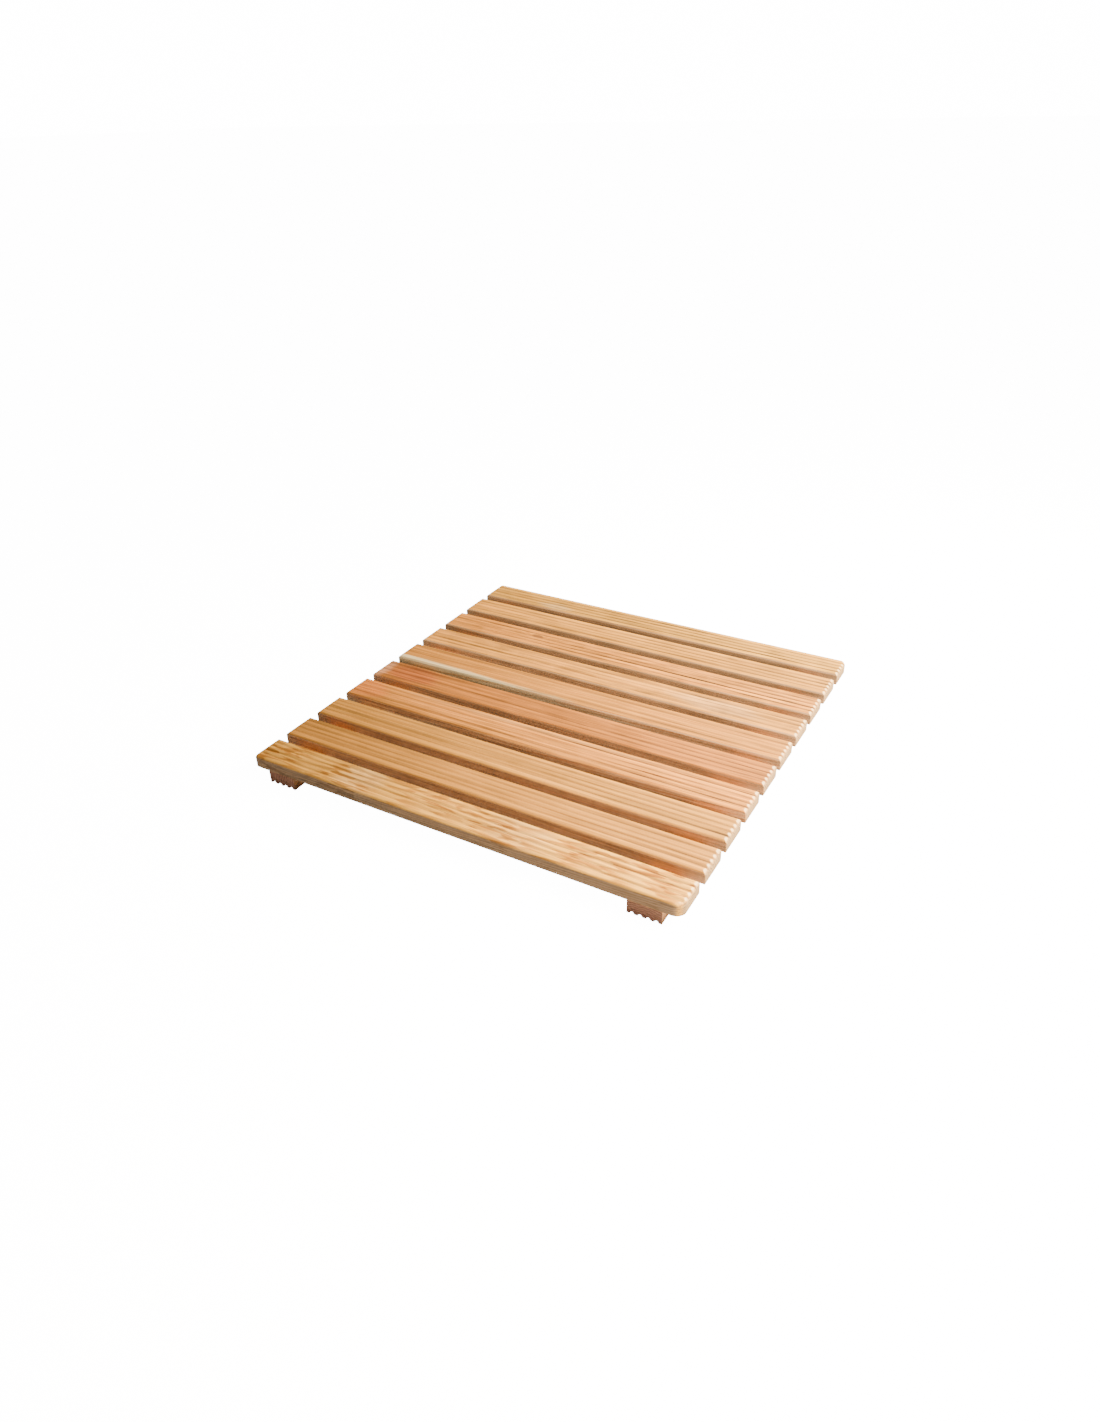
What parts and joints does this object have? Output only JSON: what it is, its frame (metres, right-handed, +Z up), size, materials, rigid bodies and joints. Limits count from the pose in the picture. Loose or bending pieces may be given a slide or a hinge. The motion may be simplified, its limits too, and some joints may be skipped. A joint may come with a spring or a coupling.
{
  "type": "wooden bath mat",
  "caption": "Square slatted wooden bath mat: ribbed larch slats across two ribbed battens, screwed from below, with drainage gaps.",
  "frame": {"origin": "on the floor, under the middle of the mat", "axes": "+X along the slats to the right, +Y from the front slat to the back slat, +Z up"},
  "size_m": [0.5, 0.5, 0.0295],
  "materials": {
    "larch_straw": "oiled straw-coloured larch, broken dark grain dashes",
    "larch_honey": "oiled golden honey larch, quiet grain",
    "larch_tan": "oiled tan larch, fine straight grain",
    "larch_striped": "oiled orange-tan larch, clear stripes",
    "larch_russet": "oiled red-brown larch heartwood",
    "larch_two_tone": "oiled orange-tan larch with a cream sapwood streak",
    "larch_yellow": "oiled yellow-tan larch, mottled",
    "larch_salmon": "oiled salmon larch, wavy grain round a small knot",
    "larch_beige": "oiled light beige larch",
    "larch_pale": "oiled pale larch, nearly sapwood",
    "larch_batten": "oiled red-brown larch, sawn ends darker",
    "screw_steel": "plain stainless steel"
  },
  "bodies": {
    "root": {"slat_01": "larch_straw", "slat_02": "larch_honey", "slat_03": "larch_tan", "slat_04": "larch_striped", "slat_05": "larch_russet", "slat_06": "larch_two_tone", "slat_07": "larch_yellow", "slat_08": "larch_salmon", "slat_09": "larch_beige", "slat_10": "larch_pale", "batten_left": "larch_batten", "batten_right": "larch_batten", "screw_left_01a": "screw_steel", "screw_left_01b": "screw_steel", "screw_right_01a": "screw_steel", "screw_right_01b": "screw_steel", "screw_left_02a": "screw_steel", "screw_left_02b": "screw_steel", "screw_right_02a": "screw_steel", "screw_right_02b": "screw_steel", "screw_left_03a": "screw_steel", "screw_left_03b": "screw_steel", "screw_right_03a": "screw_steel", "screw_right_03b": "screw_steel", "screw_left_04a": "screw_steel", "screw_left_04b": "screw_steel", "screw_right_04a": "screw_steel", "screw_right_04b": "screw_steel", "screw_left_05a": "screw_steel", "screw_left_05b": "screw_steel", "screw_right_05a": "screw_steel", "screw_right_05b": "screw_steel", "screw_left_06a": "screw_steel", "screw_left_06b": "screw_steel", "screw_right_06a": "screw_steel", "screw_right_06b": "screw_steel", "screw_left_07a": "screw_steel", "screw_left_07b": "screw_steel", "screw_right_07a": "screw_steel", "screw_right_07b": "screw_steel", "screw_left_08a": "screw_steel", "screw_left_08b": "screw_steel", "screw_right_08a": "screw_steel", "screw_right_08b": "screw_steel", "screw_left_09a": "screw_steel", "screw_left_09b": "screw_steel", "screw_right_09a": "screw_steel", "screw_right_09b": "screw_steel", "screw_left_10a": "screw_steel", "screw_left_10b": "screw_steel", "screw_right_10a": "screw_steel", "screw_right_10b": "screw_steel"}
  },
  "joints": []
}
